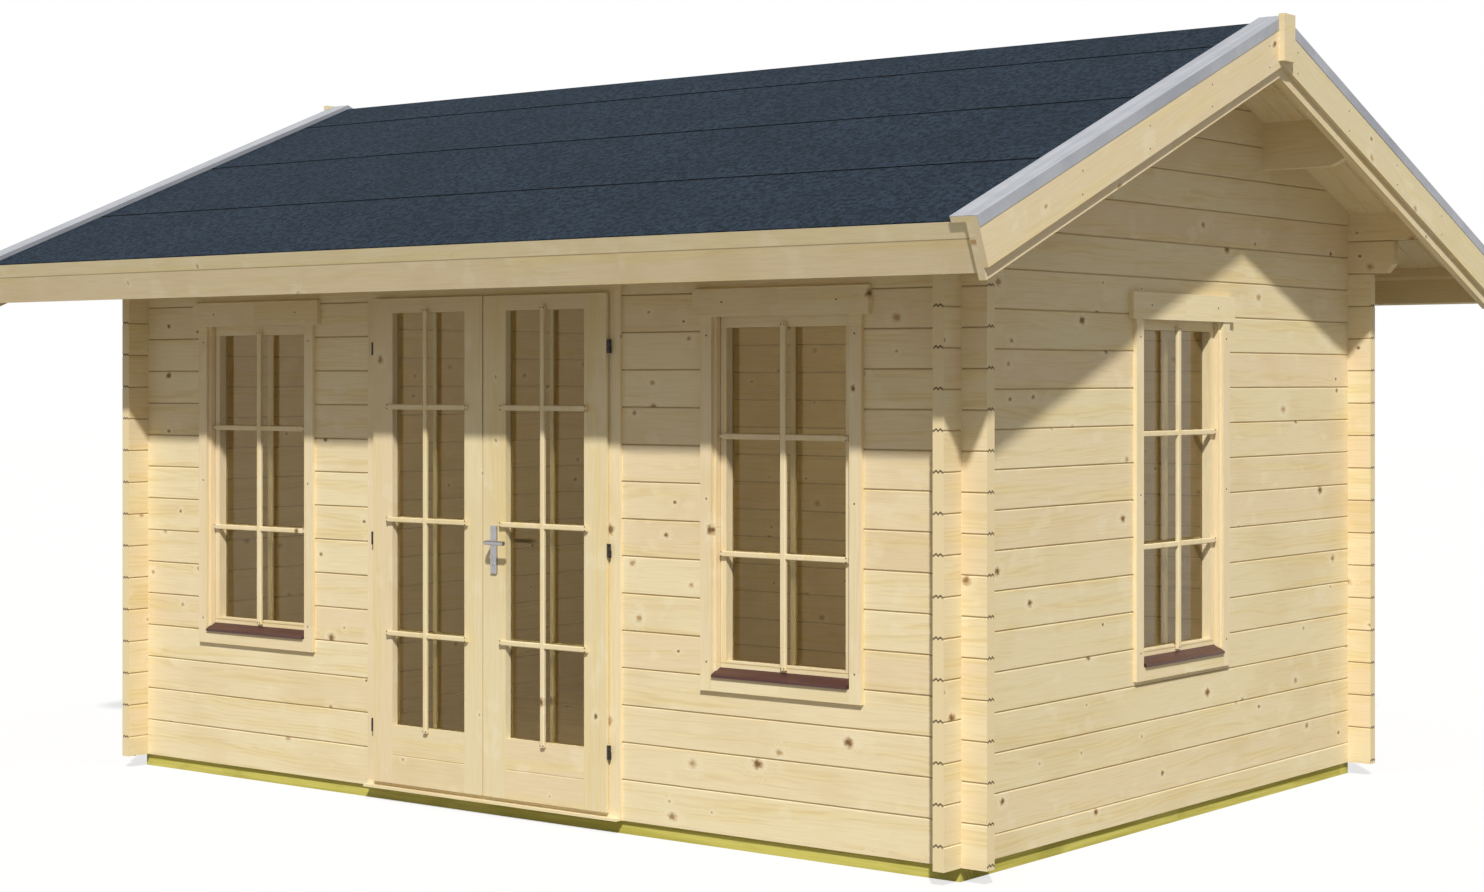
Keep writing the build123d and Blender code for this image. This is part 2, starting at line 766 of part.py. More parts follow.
def build_parts():
    """All the nodes of the house by name."""
    parts = {}
    parts["foundation_beams_long"] = foundation_beams_long()
    parts["foundation_beams_short"] = foundation_beams_short()
    parts["floor_joists"] = floor_joists()
    parts["floor_boards"] = floor_boards()

    ridge_purlin = purlin(-purlin_thickness / 2, purlin_thickness / 2)
    side_purlins = [side_purlin(FRONT), side_purlin(BACK)]
    purlins = [ridge_purlin] + side_purlins
    parts["ridge_purlin"] = ridge_purlin
    parts["side_purlins"] = group(side_purlins)

    windows = place_windows(window_opening())
    front = long_wall(FRONT) - windows[:2]
    lower_front, top_front = long_wall_zones(FRONT)
    beside_y = (front_face - cut_margin, front_inner_face + cut_margin)
    left_of_door = block((-bargeboard_face, door_opening_x[0]), beside_y, (0, ridge_z))
    right_of_door = block((door_opening_x[1], bargeboard_face), beside_y, (0, ridge_z))
    above_door = block(door_opening_x, beside_y, (door_opening_top, long_joints[-2]))
    parts["front_wall_left"] = front & lower_front & left_of_door
    parts["front_wall_right"] = front & lower_front & right_of_door
    parts["front_wall_over_door"] = (front & top_front) + (front & above_door)
    lower_back, top_back = long_wall_zones(BACK)
    back = long_wall(BACK)
    parts["back_wall"] = back & lower_back
    parts["back_wall_top_logs"] = back & top_back
    parts["left_gable_wall"] = gable_wall(LEFT, purlins)
    parts["right_gable_wall"] = gable_wall(RIGHT, purlins) - windows[2:]

    board_x = (-verge_inner_face, verge_inner_face)
    board_depths = (felt_thickness, roof_under)
    inner_x = (verge_inner_face, bargeboard_back)
    outer_x = (bargeboard_back, bargeboard_face)
    for name, side in (("front", FRONT), ("back", BACK)):
        parts["roof_boards_" + name] = slope_board(side, board_x, board_depths, board_end)
        parts["roof_felt_" + name] = felt(side)
        inner_depths = (cap_underside_depth, verge_inner_depth)
        parts["verge_inner_boards_" + name] = verge_boards(side, *inner_x, inner_depths)
        outer_depths = (cap_underside_depth, bargeboard_depth)
        parts["bargeboards_" + name] = verge_boards(side, *outer_x, outer_depths)
        parts["verge_caps_" + name] = verge_caps(side)
        parts["verge_flashings_" + name] = group([flashing_strip(side, LEFT), flashing_strip(side, RIGHT)])
    upper_depths = (felt_thickness, fascia_upper_depth)
    lower_depths = (fascia_upper_depth, fascia_lower_depth)
    batten_depths = (roof_under, eave_batten_depth)
    parts["fascia_upper_boards"] = slope_pair(
        lambda side: eave_board(side, upper_depths, fascia_thickness, slope_length))
    parts["fascia_lower_boards"] = slope_pair(
        lambda side: eave_board(side, lower_depths, fascia_thickness, slope_length))
    parts["eave_battens"] = slope_pair(
        lambda side: eave_board(side, batten_depths, eave_batten_thickness, board_end))
    parts["finial_boards"] = group([finial(LEFT), finial(RIGHT)])

    parts["window_casings"] = group(place_windows(window_casing()))
    parts["window_frames"] = group(place_windows(window_frame()))
    parts["window_sashes"] = group(place_windows(window_sash()))
    parts["window_glass"] = group(place_windows(window_pane()))
    parts["window_sills"] = group(place_windows(window_sill()))

    parts["door_frame"] = door_frame()
    parts["door_threshold"] = door_threshold()
    parts["hinge_pins"] = group([hinge_pin(centre) for centre in left_hinges + right_hinges])
    left = (left_leaf_edge, RIGHT, left_leaf_width, left_meeting_stile_width)
    right = (right_leaf_edge, LEFT, right_leaf_width, right_meeting_stile_width)
    parts["door_leaf_left"] = door_leaf(*left, left_hinges)
    parts["door_glass_left"] = leaf_pane(*left, door_glass_rebate)
    parts["hinge_barrels_left"] = group([hinge_barrel(centre, RIGHT) for centre in left_hinges])
    parts["door_leaf_right"] = door_leaf(*right, right_hinges) - spindle_hole()
    parts["door_glass_right"] = leaf_pane(*right, door_glass_rebate)
    parts["hinge_barrels_right"] = group([hinge_barrel(centre, LEFT) for centre in right_hinges])
    parts["door_handle_plates"] = group(handle_plates())
    parts["door_lever"] = door_lever()
    return parts


os.makedirs("parts", exist_ok=True)
for node, shape in build_parts().items():
    export_step(shape, "parts/" + node + ".step")
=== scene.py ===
import json
import math

import bpy
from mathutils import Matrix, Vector


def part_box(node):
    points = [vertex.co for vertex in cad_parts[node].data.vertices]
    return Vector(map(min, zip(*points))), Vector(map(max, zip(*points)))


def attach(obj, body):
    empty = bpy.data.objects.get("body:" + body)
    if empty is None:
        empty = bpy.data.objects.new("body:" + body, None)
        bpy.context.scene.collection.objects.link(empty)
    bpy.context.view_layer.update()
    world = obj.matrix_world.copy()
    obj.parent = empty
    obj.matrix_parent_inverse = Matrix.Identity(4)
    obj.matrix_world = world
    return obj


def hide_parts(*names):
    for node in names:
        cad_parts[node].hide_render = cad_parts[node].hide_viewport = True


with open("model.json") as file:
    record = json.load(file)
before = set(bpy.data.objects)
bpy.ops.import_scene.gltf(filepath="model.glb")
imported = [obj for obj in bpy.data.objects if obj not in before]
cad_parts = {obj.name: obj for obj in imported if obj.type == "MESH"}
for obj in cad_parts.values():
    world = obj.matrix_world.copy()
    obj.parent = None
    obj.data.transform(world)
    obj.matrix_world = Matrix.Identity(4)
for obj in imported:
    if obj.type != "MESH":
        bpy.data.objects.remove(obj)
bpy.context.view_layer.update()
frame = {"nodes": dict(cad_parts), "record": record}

# Places of the house, in metres
HALF_LENGTH = 2.100
HALF_DEPTH = 1.450
WALL = 0.044
COURSE = 0.134
LONG_JOINT = 0.063
GABLE_JOINT = 0.130
SLOPE = math.radians(22.5)
FELT_TOP = 2.9304
FELT_LAPS = (0.290, 0.883, 1.532)
FASCIA_SEAM = 0.0600

# Windows and doors
WINDOW_X = 1.357
SASH_RECESS = 0.020
SASH_DEPTH = 0.044
DAYLIGHT_HALF = 0.260
DAYLIGHT_Z = (0.653, 1.817)
WINDOW_BARS_Z = (1.028, 1.438)
DOOR_DAYLIGHT_Z = (0.300, 1.893)
DOOR_BARS_Z = (0.657, 1.096, 1.531)
LEAF_FACE = -1.480
LEAF_BACK = -1.440
LEFT_DAYLIGHT = (-0.5315, -0.140)
RIGHT_DAYLIGHT = (0.076, 0.4705)
LEFT_BAR_X = -0.341
RIGHT_BAR_X = 0.273
WINDOW_UPRIGHT = 0.024
DOOR_UPRIGHT = 0.020
CROSS_BAR = 0.020
BAR_THICKNESS = 0.015
BAR_CHAMFER = 0.003
ROOF_PLANK = 0.096
FLOOR_PLANK = 0.087
VERGE_BOARD = 0.0195
BEAM_ZONE = 0.090
GABLE_ZONE = 1.990
SASH_HALF = 0.300
MEETING_X = -0.0435
DOOR_HEAD_Z = 1.955
THRESHOLD_Z = 0.0765


# Geometry helpers
def new_piece(name, verts, faces, material, body):
    """A mesh piece that rides on a body of the frame."""
    mesh = bpy.data.meshes.new(name)
    mesh.from_pydata([tuple(v) for v in verts], [], faces)
    mesh.validate()
    mesh.update()
    mesh.materials.append(material)
    piece = bpy.data.objects.new(name, mesh)
    bpy.context.scene.collection.objects.link(piece)
    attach(piece, body)
    return piece


def place(axis, along, first, second):
    """A point from its place along an axis and its two places across it."""
    point = [first, second]
    point.insert(axis, along)
    return Vector(point)


def add_prism(verts, faces, axis, start, end, section):
    """A closed bar: a section given across the axis, pushed from start to end."""
    base = len(verts)
    count = len(section)
    for along in (start, end):
        verts.extend(place(axis, along, first, second) for first, second in section)
    faces.append([base + k for k in reversed(range(count))])
    faces.append([base + count + k for k in range(count)])
    for k in range(count):
        after = (k + 1) % count
        faces.append([base + k, base + after, base + count + after, base + count + k])


def eased_section(first, second, ease):
    """A rectangle with its four corners cut off."""
    a0, a1 = first
    b0, b1 = second
    return [(a0 + ease, b0), (a1 - ease, b0), (a1, b0 + ease), (a1, b1 - ease),
            (a1 - ease, b1), (a0 + ease, b1), (a0, b1 - ease), (a0, b0 + ease)]


def add_bar(verts, faces, x, y, z, axis, ease=BAR_CHAMFER):
    """A bar with eased long edges between two corners."""
    sides = [x, y, z]
    start, end = sides.pop(axis)
    add_prism(verts, faces, axis, start, end, eased_section(sides[0], sides[1], ease))


def add_head(verts, faces, centre, normal, radius, height, sides=10):
    """A round nail or screw head, domed by one smaller ring."""
    normal = Vector(normal).normalized()
    side = normal.orthogonal().normalized()
    up = normal.cross(side)
    base = len(verts)
    sunk = 0.002
    for level, reach in ((-sunk, 1.0), (height * 0.5, 1.0), (height, 0.6)):
        for k in range(sides):
            turn = 2 * math.pi * k / sides
            verts.append(Vector(centre) + normal * level
                         + (side * math.cos(turn) + up * math.sin(turn)) * radius * reach)
    for ring in (0, 1):
        for k in range(sides):
            low = base + ring * sides
            after = (k + 1) % sides
            faces.append([low + k, low + after, low + sides + after, low + sides + k])
    faces.append([base + k for k in reversed(range(sides))])
    faces.append([base + 2 * sides + k for k in range(sides)])


def linear(red, green, blue):
    """A screen colour, 0 to 255, as the linear colour of a shader."""
    def one(value):
        value /= 255
        return value / 12.92 if value <= 0.04045 else ((value + 0.055) / 1.055) ** 2.4
    return (one(red), one(green), one(blue), 1.0)


# Materials, built from nodes
class Graph:
    """A material's node tree; each call adds one node and gives back its output."""

    def __init__(self, name):
        self.material = bpy.data.materials.new(name)
        self.material.use_nodes = True
        self.tree = self.material.node_tree
        self.shader = self.tree.nodes["Principled BSDF"]
        coordinates = self.tree.nodes.new("ShaderNodeTexCoord")
        self.point = coordinates.outputs["Object"]
        apart = self.tree.nodes.new("ShaderNodeSeparateXYZ")
        self.tree.links.new(self.point, apart.inputs[0])
        self.x, self.y, self.z = apart.outputs
        geometry = self.tree.nodes.new("ShaderNodeNewGeometry")
        normal = self.tree.nodes.new("ShaderNodeSeparateXYZ")
        self.tree.links.new(geometry.outputs["True Normal"], normal.inputs[0])
        self.normal = [self.math("ABSOLUTE", part) for part in normal.outputs]

    def feed(self, socket, value):
        if isinstance(value, bpy.types.NodeSocket):
            self.tree.links.new(value, socket)
        else:
            socket.default_value = value

    def math(self, operation, *values):
        node = self.tree.nodes.new("ShaderNodeMath")
        node.operation = operation
        for socket, value in zip(node.inputs, values):
            self.feed(socket, value)
        return node.outputs[0]

    def add(self, *values):
        total = values[0]
        for value in values[1:]:
            total = self.math("ADD", total, value)
        return total

    def times(self, first, second):
        return self.math("MULTIPLY", first, second)

    def more(self, value, limit):
        return self.math("GREATER_THAN", value, limit)

    def fade(self, value, start, end, low=0.0, high=1.0):
        """Goes smoothly from low to high as the value goes from start to end."""
        node = self.tree.nodes.new("ShaderNodeMapRange")
        node.interpolation_type = "SMOOTHSTEP"
        for socket, number in zip(node.inputs, (value, start, end, low, high)):
            self.feed(socket, number)
        return node.outputs[0]

    def choose(self, factor, first, second):
        """The first number where the factor is 0, the second where it is 1."""
        node = self.tree.nodes.new("ShaderNodeMix")
        self.feed(node.inputs[0], factor)
        self.feed(node.inputs[2], first)
        self.feed(node.inputs[3], second)
        return node.outputs[0]

    def blend(self, factor, first, second, kind="MIX"):
        """A mix of two colours."""
        node = self.tree.nodes.new("ShaderNodeMix")
        node.data_type = "RGBA"
        node.blend_type = kind
        self.feed(node.inputs[0], factor)
        self.feed(node.inputs[6], first)
        self.feed(node.inputs[7], second)
        return node.outputs[2]

    def join(self, x, y, z):
        node = self.tree.nodes.new("ShaderNodeCombineXYZ")
        for socket, value in zip(node.inputs, (x, y, z)):
            self.feed(socket, value)
        return node.outputs[0]

    def noise(self, vector, scale=1.0, detail=2.0, roughness=0.5):
        node = self.tree.nodes.new("ShaderNodeTexNoise")
        self.feed(node.inputs["Vector"], vector)
        node.inputs["Scale"].default_value = scale
        node.inputs["Detail"].default_value = detail
        node.inputs["Roughness"].default_value = roughness
        return node.outputs["Fac"]

    def grain(self, place, along_scale, across_scale, detail=2.0):
        """Noise stretched along the grain, from a place along it, across it and into the wood."""
        along, across, depth = place
        stretched = self.join(self.times(along, along_scale), self.times(across, across_scale),
                              self.times(depth, across_scale))
        return self.noise(stretched, 1.0, detail)

    def cells(self, vector, scale, dimensions="2D"):
        """Distance to the nearest scattered point, and a random colour for it."""
        node = self.tree.nodes.new("ShaderNodeTexVoronoi")
        node.voronoi_dimensions = dimensions
        self.feed(node.inputs["Vector"], vector)
        node.inputs["Scale"].default_value = scale
        apart = self.tree.nodes.new("ShaderNodeSeparateColor")
        self.tree.links.new(node.outputs["Color"], apart.inputs[0])
        return node.outputs["Distance"], apart.outputs

    def random(self, *values):
        """Three random numbers that are the same wherever the values are."""
        node = self.tree.nodes.new("ShaderNodeTexWhiteNoise")
        self.feed(node.inputs["Vector"], self.join(*values))
        apart = self.tree.nodes.new("ShaderNodeSeparateColor")
        self.tree.links.new(node.outputs["Color"], apart.inputs[0])
        return apart.outputs

    def bump(self, height, strength, distance):
        node = self.tree.nodes.new("ShaderNodeBump")
        node.inputs["Strength"].default_value = strength
        node.inputs["Distance"].default_value = distance
        self.feed(node.inputs["Height"], height)
        self.tree.links.new(node.outputs[0], self.shader.inputs["Normal"])

    def finish(self, colour, roughness, specular=0.3, metallic=0.0):
        self.feed(self.shader.inputs["Base Color"], colour)
        self.feed(self.shader.inputs["Roughness"], roughness)
        self.shader.inputs["Specular IOR Level"].default_value = specular
        self.shader.inputs["Metallic"].default_value = metallic
        return self.material


WOOD_LIGHT = linear(238, 223, 184)
WOOD_GRAIN = linear(206, 178, 122)
WOOD_PINK = linear(232, 211, 176)
WOOD_YELLOW = linear(232, 213, 158)
WOOD_PALE = linear(243, 232, 202)
KNOT_RIM = linear(172, 136, 88)
KNOT_CORE = linear(104, 74, 46)
KNOT_SOFT = linear(188, 150, 98)
KNOT_SPREAD = 5.6
RING_LINES = 48.0
WOOD_ROUGH = 0.64


def wood(name, layout, knots=0.42, light=WOOD_LIGHT, contrast=0.26, extra=None):
    """Planed softwood. The layout gives, for each point, its place along the grain, across it
    and into the board, and three numbers that name the board. knots is the share of the places
    for a knot that have one."""
    g = Graph(name)
    along, across, depth, board = layout(g)
    chance = g.random(*board)
    along = g.add(along, g.times(chance[0], 37.0))
    across = g.add(across, g.times(chance[1], 11.0))
    at = (along, across, depth)
    drift = g.grain(at, 0.7, 5.0, 3.0)
    spot, which = g.cells(g.join(g.times(along, 0.78), across, chance[2]), KNOT_SPREAD)
    spot = g.times(spot, 1 / KNOT_SPREAD)
    shown = g.more(which[0], 1.0 - knots)
    dark = g.fade(which[2], 0.30, 0.75, 0.10, 1.0)
    size = g.add(0.0035, g.times(which[1], 0.0085))
    ragged = g.noise(g.join(g.times(along, 90.0), g.times(across, 90.0), depth), 1.0, 1.0)
    ratio = g.math("DIVIDE", spot, g.times(size, g.fade(ragged, 0.3, 0.7, 0.75, 1.25)))
    core = g.times(shown, g.fade(ratio, 1.1, 0.5))
    rim = g.times(g.times(shown, g.fade(dark, 0.1, 1.0, 0.30, 0.75)), g.fade(ratio, 1.9, 0.9))
    halo = g.times(shown, g.fade(ratio, 5.0, 1.6))
    flow = g.times(shown, g.fade(ratio, 6.0, 1.0))
    sway = g.grain(at, 2.5, 30.0)
    phase = g.add(g.times(across, RING_LINES), g.times(drift, 11.0), g.times(flow, 1.4),
                  g.times(sway, 1.6), g.times(depth, 40.0))
    wave = g.math("SINE", g.times(phase, 2 * math.pi))
    ring = g.math("POWER", g.fade(wave, -1.0, 1.0), 2.2)
    fibre = g.grain(at, 7.0, 240.0)
    streak = g.grain(at, 1.1, 22.0, 3.0)
    patch = g.grain(at, 7.0, 9.0)
    cloud = g.grain(at, 2.2, 3.0)
    colour = g.blend(g.fade(chance[2], 0.2, 0.95, 0.0, 0.7), light, WOOD_PINK)
    colour = g.blend(g.fade(streak, 0.48, 0.70, 0.0, 0.65), colour, WOOD_YELLOW)
    late = g.fade(streak, 0.40, 0.66, 0.1 * contrast, contrast)
    colour = g.blend(g.times(ring, late), colour, WOOD_GRAIN)
    colour = g.blend(g.fade(cloud, 0.50, 0.72, 0.0, 0.22), colour, WOOD_GRAIN)
    colour = g.blend(g.fade(patch, 0.60, 0.70, 0.0, 0.30), colour, WOOD_PALE)
    colour = g.blend(g.times(halo, 0.38), colour, WOOD_PALE)
    colour = g.blend(g.fade(fibre, 0.35, 0.75, 0.0, 0.20), colour, WOOD_GRAIN)
    colour = g.blend(rim, colour, KNOT_RIM)
    colour = g.blend(g.times(core, 0.85), colour, g.blend(dark, KNOT_SOFT, KNOT_CORE))
    if extra:
        colour = extra(g, colour, chance)
    height = g.add(g.times(fibre, 0.5), g.times(ring, 0.4), g.times(g.times(core, dark), -0.8))
    g.bump(height, 0.18, 0.0006)
    return g.finish(colour, g.fade(fibre, 0.3, 0.7, WOOD_ROUGH - 0.05, WOOD_ROUGH + 0.06), 0.22)


END_GRAIN = linear(233, 215, 172)
END_RING = linear(206, 178, 122)
JOINT_DARK = linear(84, 64, 38)
JOINT_SOFT = linear(176, 150, 104)
TONGUE_HEIGHT = 0.0052


def log_ends(axis_normal, thick, low, strength):
    """The dark gap of each joint, and on the faces that cross the logs end grain and tongues."""
    def extra(g, colour, chance):
        t = thick(g)
        height = g.math("FLOORED_MODULO", g.math("SUBTRACT", g.z, low - COURSE / 2), COURSE)
        height = g.math("SUBTRACT", height, COURSE / 2)
        pith = g.add(g.times(chance[1], 0.06), 0.03)
        away = g.math("SQRT", g.add(g.math("POWER", g.math("SUBTRACT", height, pith), 2.0),
                                    g.math("POWER", g.math("SUBTRACT", t, WALL / 2), 2.0)))
        rings = g.math("SINE", g.times(g.add(away, g.times(chance[0], 0.1)), 1700.0))
        end = g.blend(g.fade(rings, 0.2, 1.0, 0.0, 0.30), END_GRAIN, END_RING)
        first = g.times(g.fade(t, 0.005, 0.012), g.fade(t, 0.022, 0.015))
        second = g.times(g.fade(t, 0.023, 0.029), g.fade(t, 0.039, 0.032))
        profile = g.times(g.add(first, second), TONGUE_HEIGHT)
        near = g.math("ABSOLUTE", g.math("SUBTRACT", height, profile))
        end = g.blend(g.fade(near, 0.0046, 0.0024, 0.0, 0.92), end, JOINT_DARK)
        wavy = g.fade(g.noise(g.point, 3.0), 0.3, 0.7, -0.0006, 0.0006)
        beside = g.math("ABSOLUTE", g.add(height, wavy))
        jointed = g.more(g.z, low + COURSE / 2)
        soft = g.times(jointed, g.fade(beside, 0.0042, 0.0020, 0.0, 0.30))
        face = g.blend(soft, colour, JOINT_SOFT)
        gap = g.times(jointed, g.fade(beside, 0.0016, 0.0006, 0.0, strength))
        face = g.blend(gap, face, JOINT_DARK)
        return g.blend(g.more(g.normal[axis_normal], 0.8), face, end)
    return extra


def from_outside(g, value, outer):
    """Distance in from the outer face of a wall, on either side of the house."""
    return g.math("SUBTRACT", outer, g.math("ABSOLUTE", value))


# Layouts: each gives the place along, across and into the board that a point lies in, and the
# three numbers that name the board
def long_logs(g):
    row = g.math("FLOOR", g.times(g.math("SUBTRACT", g.z, LONG_JOINT), 1 / COURSE))
    return g.x, g.z, g.y, (row, g.math("SIGN", g.y), g.more(g.x, 0.0))


def gable_logs(g):
    row = g.math("FLOOR", g.times(g.math("SUBTRACT", g.z, GABLE_JOINT), 1 / COURSE))
    return g.y, g.z, g.x, (row, g.math("SIGN", g.x), 7.0)


def roof_beams(g):
    return g.x, g.add(g.z, g.y), g.y, (g.math("SIGN", g.y), g.more(g.z, 2.4), 3.0)


def under_roof(g):
    """Distance below the top of the felt, square to the slope."""
    out = g.math("ABSOLUTE", g.y)
    drop = g.math("SUBTRACT", FELT_TOP, g.add(g.z, g.times(out, math.tan(SLOPE))))
    return g.times(drop, math.cos(SLOPE))


def fascia_boards(g):
    lower = g.more(under_roof(g), FASCIA_SEAM)
    return g.x, g.add(g.z, g.y), g.y, (g.math("SIGN", g.y), lower, 3.0)


def fascia_seam(g, colour, _chance):
    """The dark line between the upper and the lower fascia board."""
    away = g.math("ABSOLUTE", g.math("SUBTRACT", under_roof(g), FASCIA_SEAM))
    colour = g.blend(g.fade(away, 0.0040, 0.0016, 0.0, 0.35), colour, JOINT_SOFT)
    return g.blend(g.fade(away, 0.0018, 0.0007, 0.0, 0.5), colour, JOINT_DARK)


def on_verge(g):
    """Boards that follow the slope, counted square to it."""
    out = g.math("ABSOLUTE", g.y)
    along = g.times(out, 1 / math.cos(SLOPE))
    across = g.add(g.z, g.times(out, math.tan(SLOPE)))
    return along, across, g.x, (g.math("SIGN", g.y), g.math("SIGN", g.x),
                                g.math("FLOOR", g.times(g.x, 1 / VERGE_BOARD)))


def roof_planks(g):
    row = g.math("FLOOR", g.times(g.x, 1 / ROOF_PLANK))
    return g.math("ABSOLUTE", g.y), g.x, g.z, (row, g.math("SIGN", g.y), 5.0)


def floor_planks(g):
    row = g.math("FLOOR", g.times(g.y, 1 / FLOOR_PLANK))
    return g.x, g.y, g.z, (row, 9.0, 2.0)


def foundation_beams(g):
    long_way = g.more(g.math("ABSOLUTE", g.y), HALF_DEPTH - BEAM_ZONE)
    along = g.choose(long_way, g.y, g.x)
    across = g.choose(long_way, g.x, g.y)
    return along, g.add(g.z, across), across, (long_way, g.math("SIGN", g.x), g.math("SIGN", g.y))


def window_boards(g):
    """Upright boards at the sides, and lying ones above and below the glass."""
    side_wall = g.more(g.x, GABLE_ZONE)
    from_middle = g.choose(side_wall, g.math("SUBTRACT", g.math("ABSOLUTE", g.x), WINDOW_X), g.y)
    into = g.choose(side_wall, g.y, g.x)
    away = g.math("ABSOLUTE", from_middle)
    above = g.more(g.z, DAYLIGHT_Z[1])
    below = g.math("LESS_THAN", g.z, DAYLIGHT_Z[0])
    lying = g.math("MAXIMUM", above, g.times(below, g.math("LESS_THAN", away, SASH_HALF)))
    along = g.choose(lying, g.z, from_middle)
    across = g.choose(lying, from_middle, g.z)
    name = g.add(g.times(above, 2.0), below, g.times(g.math("SIGN", from_middle), 4.0))
    return along, across, into, (name, g.math("SIGN", g.x), g.times(side_wall, 3.0))


def leaf_boards(g):
    """Stiles stand the full height; rails lie between them."""
    right = g.more(g.x, MEETING_X)
    low = g.choose(right, LEFT_DAYLIGHT[0], RIGHT_DAYLIGHT[0])
    high = g.choose(right, LEFT_DAYLIGHT[1], RIGHT_DAYLIGHT[1])
    between = g.times(g.more(g.x, low), g.math("LESS_THAN", g.x, high))
    outside = g.math("MAXIMUM", g.more(g.z, DOOR_DAYLIGHT_Z[1]),
                     g.math("LESS_THAN", g.z, DOOR_DAYLIGHT_Z[0]))
    lying = g.times(between, outside)
    along = g.choose(lying, g.z, g.x)
    across = g.choose(lying, g.x, g.z)
    upper = g.times(g.more(g.z, 1.0), g.times(lying, 2.0))
    name = g.add(lying, upper, g.times(g.more(g.x, low), 5.0))
    return along, across, g.y, (name, right, 4.0)


def door_boards(g):
    lying = g.math("MAXIMUM", g.more(g.z, DOOR_HEAD_Z), g.math("LESS_THAN", g.z, THRESHOLD_Z))
    along = g.choose(lying, g.z, g.x)
    across = g.choose(lying, g.x, g.z)
    return along, across, g.y, (lying, g.math("SIGN", g.x), 6.0)


def felt():
    """Mineral felt: dark blue-grey, with coarse light and dark grains, and a line at each lap."""
    g = Graph("mineral_felt")
    coarse = g.noise(g.point, 46.0, 2.0, 0.6)
    flecks = g.noise(g.point, 130.0, 2.0, 0.6)
    cloud = g.noise(g.point, 3.0, 3.0)
    colour = g.blend(g.fade(coarse, 0.36, 0.62), linear(20, 29, 38), linear(43, 55, 68))
    colour = g.blend(g.fade(flecks, 0.56, 0.70, 0.0, 0.6), colour, linear(62, 77, 92))
    colour = g.blend(g.fade(flecks, 0.44, 0.30, 0.0, 0.6), colour, linear(12, 17, 23))
    colour = g.blend(g.fade(cloud, 0.35, 0.65, 0.0, 0.25), colour, linear(24, 33, 42))
    down = g.times(g.math("ABSOLUTE", g.y), 1 / math.cos(SLOPE))
    for lap in FELT_LAPS:
        away = g.math("ABSOLUTE", g.math("SUBTRACT", down, lap + 0.002))
        colour = g.blend(g.fade(away, 0.006, 0.002, 0.0, 0.85), colour, linear(8, 11, 15))
    g.bump(g.add(flecks, coarse), 0.5, 0.0012)
    return g.finish(colour, 0.92, 0.1)


def treated_timber():
    """Sawn timber, stained yellow-green by its treatment."""
    g = Graph("treated_timber")
    along, across, depth, board = foundation_beams(g)
    chance = g.random(*board)
    shifted = g.add(g.times(along, 1.2), g.times(chance[0], 9.0))
    streak = g.grain((shifted, across, depth), 1.0, 40.0, 3.0)
    fibre = g.grain((along, across, depth), 6.0, 240.0)
    stain = g.grain((along, across, depth), 4.0, 9.0, 3.0)
    colour = g.blend(g.fade(streak, 0.40, 0.66), linear(208, 199, 104), linear(182, 172, 78))
    colour = g.blend(g.fade(stain, 0.50, 0.70, 0.0, 0.55), colour, linear(156, 148, 62))
    colour = g.blend(g.fade(fibre, 0.40, 0.75, 0.0, 0.30), colour, linear(140, 128, 56))
    g.bump(fibre, 0.25, 0.0008)
    return g.finish(colour, g.fade(fibre, 0.3, 0.7, 0.7, 0.82), 0.2)


def bent_sheet():
    """Pale folded sheet metal, faintly streaked by rolling."""
    g = Graph("bent_sheet")
    out = g.math("ABSOLUTE", g.y)
    rolled = g.noise(g.join(g.times(out, 1.5), g.times(g.x, 60.0), g.times(g.z, 2.0)), 1.0, 2.0)
    cloud = g.noise(g.point, 9.0, 3.0)
    colour = g.blend(g.fade(rolled, 0.3, 0.7), linear(157, 160, 167), linear(174, 177, 184))
    colour = g.blend(g.fade(cloud, 0.4, 0.7, 0.0, 0.3), colour, linear(146, 150, 158))
    g.bump(rolled, 0.12, 0.0006)
    return g.finish(colour, g.fade(cloud, 0.3, 0.7, 0.45, 0.55), 0.4, 0.25)


def dark_sill():
    """Dark red-brown sill board."""
    g = Graph("dark_sill")
    streak = g.noise(g.join(g.times(g.x, 3.0), g.times(g.y, 3.0), g.times(g.z, 120.0)), 1.0, 2.0)
    fine = g.noise(g.point, 240.0, 2.0)
    colour = g.blend(g.fade(streak, 0.3, 0.7), linear(72, 42, 38), linear(86, 56, 52))
    g.bump(fine, 0.2, 0.0004)
    return g.finish(colour, g.fade(fine, 0.3, 0.7, 0.36, 0.48), 0.4)


def dark_metal(name, dark, pale, roughness):
    g = Graph(name)
    wear = g.noise(g.point, 90.0, 3.0)
    fine = g.noise(g.point, 700.0, 2.0)
    colour = g.blend(g.fade(wear, 0.35, 0.75), dark, pale)
    g.bump(fine, 0.15, 0.0002)
    return g.finish(colour, g.fade(fine, 0.3, 0.7, roughness - 0.06, roughness + 0.08), 0.5, 0.6)


def satin_steel():
    g = Graph("satin_steel")
    stretched = g.join(g.times(g.x, 900.0), g.times(g.y, 900.0), g.times(g.z, 30.0))
    brushed = g.noise(stretched, 1.0, 2.0)
    colour = g.blend(g.fade(brushed, 0.3, 0.7), linear(158, 156, 158), linear(190, 188, 190))
    g.bump(brushed, 0.12, 0.0002)
    return g.finish(colour, g.fade(brushed, 0.3, 0.7, 0.26, 0.4), 0.5, 0.9)


